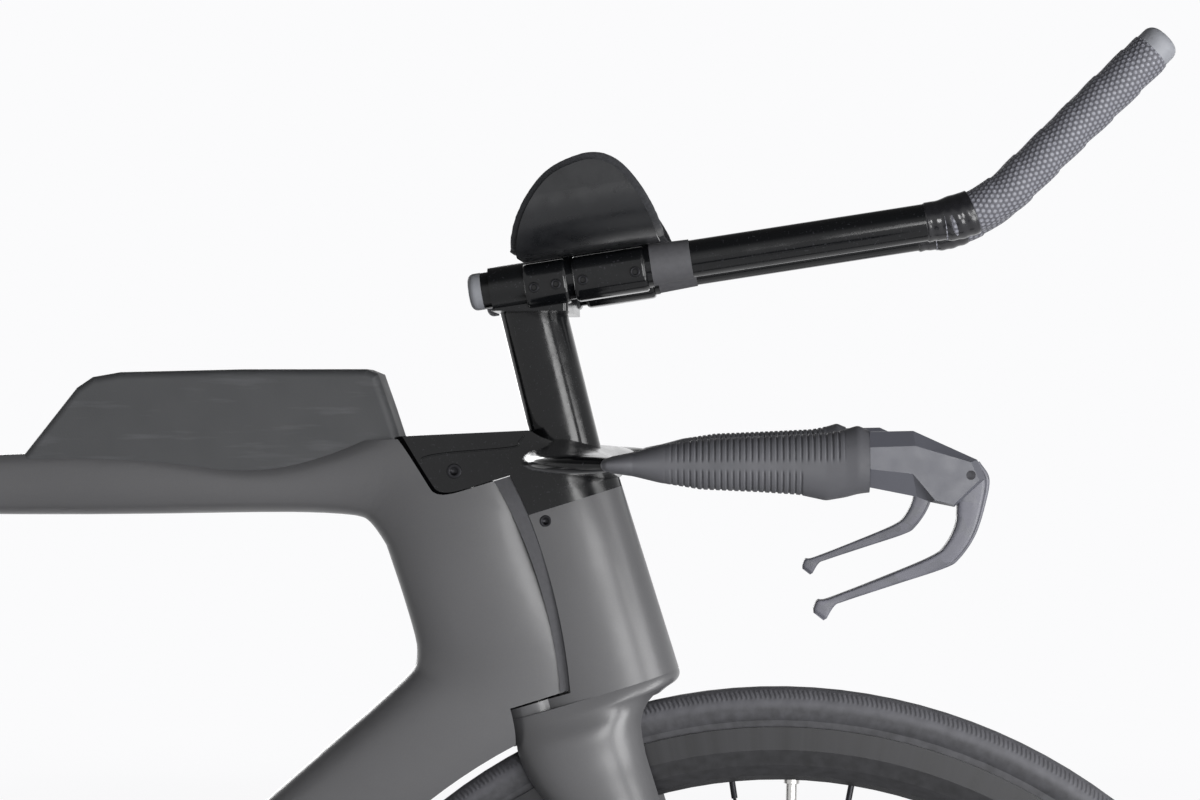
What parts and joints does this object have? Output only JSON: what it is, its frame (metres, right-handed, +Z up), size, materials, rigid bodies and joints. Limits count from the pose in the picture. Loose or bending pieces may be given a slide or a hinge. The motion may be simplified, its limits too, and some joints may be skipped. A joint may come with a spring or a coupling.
{
  "type": "time trial bike",
  "caption": "Aero road racing bicycle with a deep-section frame, base bar with brake levers, raised arm rests and upswept forearm extensions.",
  "frame": {"origin": "on the ground midway between the two wheel axles, in the bike's middle plane", "axes": "+X forward, +Y to the rider's left, +Z up"},
  "size_m": [1.6979, 0.4224, 1.066],
  "materials": {
    "frame_paint": "matte warm gunmetal paint on carbon composite",
    "gloss_black": "gloss black lacquer on carbon composite",
    "box_plastic": "matte slate moulded plastic",
    "seal_rubber": "charcoal rubber with a fine texture",
    "grip_rubber": "charcoal ribbed rubber",
    "tape_rubber": "charcoal tape with honeycomb bumps",
    "lever_plastic": "matte blue-grey moulded plastic",
    "lever_composite": "mottled grey composite",
    "cup_plastic": "semi-matte black moulded plastic",
    "foam": "dark foam with a cloth face",
    "saddle_cover": "smooth black synthetic cover",
    "saddle_base": "matte black moulded base",
    "tyre": "black tread rubber",
    "rim": "matte black carbon composite",
    "black_steel": "black coated steel",
    "black_alloy": "black anodised alloy",
    "silver": "bright steel",
    "pedal_plastic": "matte black moulded composite"
  },
  "bodies": {
    "frame": {"main_frame": "frame_paint", "rear_triangle": "frame_paint", "head_gap_seal": "seal_rubber", "headset_bearings": "silver", "storage_box": "box_plastic", "seatpost": "frame_paint", "saddle_rails": "black_alloy", "saddle_clamp": "black_alloy", "saddle_shell": "saddle_base", "saddle_cover": "saddle_cover", "bottom_bracket": "black_alloy", "rear_axle": "black_alloy", "rear_caliper": "black_alloy", "derailleur_hanger": "black_alloy", "derailleur_knuckle": "pedal_plastic", "chain": "silver"},
    "steering": {"fork": "frame_paint", "fork_legs": "frame_paint", "steerer_tube": "black_alloy", "base_bar": "gloss_black", "stem": "gloss_black", "cockpit_bolts": "black_steel", "base_bar_grips": "grip_rubber", "lever_bodies": "lever_plastic", "riser_post": "gloss_black", "extension_holders": "gloss_black", "extensions": "gloss_black", "extension_sleeves": "seal_rubber", "bar_tapes": "tape_rubber", "bar_plugs": "seal_rubber", "arm_cups": "cup_plastic", "arm_pads": "foam", "front_axle": "black_alloy", "front_caliper": "black_alloy"},
    "front_wheel": {"front_tyre": "tyre", "front_rim": "rim", "front_spokes": "black_steel", "front_hub": "black_alloy", "front_rotor": "silver"},
    "rear_wheel": {"rear_tyre": "tyre", "rear_rim": "rim", "rear_spokes": "black_steel", "rear_hub": "black_alloy", "rear_rotor": "silver"},
    "crankset": {"right_crank": "black_alloy", "left_crank": "black_alloy", "chainring": "black_alloy"},
    "right_pedal_body": {"right_pedal": "pedal_plastic"},
    "left_pedal_body": {"left_pedal": "pedal_plastic"},
    "cassette_body": {"cassette": "silver"},
    "right_lever": {"right_brake_lever": "lever_composite"},
    "left_lever": {"left_brake_lever": "lever_composite"},
    "front_pad": {"front_brake_pad": "black_steel"},
    "rear_pad": {"rear_brake_pad": "black_steel"},
    "shift_arm": {"derailleur_link": "pedal_plastic"},
    "shift_carrier": {"derailleur_mount": "pedal_plastic"},
    "cage": {"derailleur_cage": "black_alloy"},
    "guide_wheel": {"guide_pulley": "pedal_plastic"},
    "tension_wheel": {"tension_pulley": "pedal_plastic"},
    "lid": {"storage_box_lid": "box_plastic"}
  },
  "joints": [
    {"name": "steering_turn", "type": "hinge", "parent": "frame", "child": "steering", "pos_m": [0.47006, 0, 0.32254], "axis": [-0.299, 0, 0.9542], "range_deg": [-25, 25]},
    {"name": "front_wheel_spin", "type": "hinge", "parent": "steering", "child": "front_wheel", "pos_m": [0.513, 0, 0.336], "axis": [0, 1, 0], "continuous": true},
    {"name": "rear_wheel_spin", "type": "hinge", "parent": "frame", "child": "rear_wheel", "pos_m": [-0.513, 0, 0.336], "axis": [0, 1, 0], "continuous": true},
    {"name": "crank_spin", "type": "hinge", "parent": "frame", "child": "crankset", "pos_m": [-0.109, 0, 0.264], "axis": [0, 1, 0], "continuous": true, "deforming": ["chain"]},
    {"name": "cassette_spin", "type": "hinge", "parent": "frame", "child": "cassette_body", "pos_m": [-0.513, -0.05, 0.336], "axis": [0, 1, 0], "continuous": true, "deforming": ["chain"]},
    {"name": "right_pedal_spin", "type": "hinge", "parent": "crankset", "child": "right_pedal_body", "pos_m": [0.061, -0.1, 0.264], "axis": [0, 1, 0], "continuous": true},
    {"name": "left_pedal_spin", "type": "hinge", "parent": "crankset", "child": "left_pedal_body", "pos_m": [-0.279, 0.1, 0.264], "axis": [0, 1, 0], "continuous": true},
    {"name": "right_lever_pull", "type": "hinge", "parent": "steering", "child": "right_lever", "pos_m": [0.612, -0.195, 0.806], "axis": [0, 1, 0], "range_deg": [0, 14], "stiffness_Nm_per_rad": 0.8, "springref_deg": -11.46},
    {"name": "left_lever_pull", "type": "hinge", "parent": "steering", "child": "left_lever", "pos_m": [0.612, 0.195, 0.806], "axis": [0, 1, 0], "range_deg": [0, 14], "stiffness_Nm_per_rad": 0.8, "springref_deg": -11.46},
    {"name": "front_pad_slide", "type": "slide", "parent": "steering", "child": "front_pad", "axis": [0, -1, 0], "range_m": [0, 0.00025]},
    {"name": "rear_pad_slide", "type": "slide", "parent": "frame", "child": "rear_pad", "axis": [0, -1, 0], "range_m": [0, 0.00025]},
    {"name": "derailleur_shift", "type": "hinge", "parent": "frame", "child": "shift_arm", "pos_m": [-0.522, -0.0915, 0.306], "axis": [0.289, 0.504, 0.8139], "range_deg": [-26, 26], "deforming": ["chain"]},
    {"name": "derailleur_level", "type": "hinge", "parent": "shift_arm", "child": "shift_carrier", "pos_m": [-0.484, -0.06, 0.273], "axis": [0.289, 0.504, 0.8139], "range_deg": [-26, 26], "deforming": ["chain"]},
    {"name": "cage_swing", "type": "hinge", "parent": "shift_carrier", "child": "cage", "pos_m": [-0.484, -0.056, 0.273], "axis": [0, 1, 0], "range_deg": [-12, 12], "stiffness_Nm_per_rad": 0.6, "deforming": ["chain"]},
    {"name": "guide_pulley_spin", "type": "hinge", "parent": "cage", "child": "guide_wheel", "pos_m": [-0.497, -0.0465, 0.253], "axis": [0, 1, 0], "continuous": true, "deforming": ["chain"]},
    {"name": "tension_pulley_spin", "type": "hinge", "parent": "cage", "child": "tension_wheel", "pos_m": [-0.48658, -0.0465, 0.19594], "axis": [0, 1, 0], "continuous": true, "deforming": ["chain"]},
    {"name": "storage_lid_open", "type": "hinge", "parent": "frame", "child": "lid", "pos_m": [0.075, 0, 0.85], "axis": [0, -1, 0], "range_deg": [0, 80]}
  ],
  "couplings": [
    {"joint": "cassette_spin", "follows": "crank_spin", "ratio": 3.1765},
    {"joint": "guide_pulley_spin", "follows": "crank_spin", "ratio": -4.9091},
    {"joint": "tension_pulley_spin", "follows": "crank_spin", "ratio": 4.9091},
    {"joint": "derailleur_level", "follows": "derailleur_shift", "ratio": -1},
    {"joint": "front_pad_slide", "follows": "left_lever_pull", "m_per_rad": 0.0010231},
    {"joint": "rear_pad_slide", "follows": "right_lever_pull", "m_per_rad": 0.0010231}
  ]
}
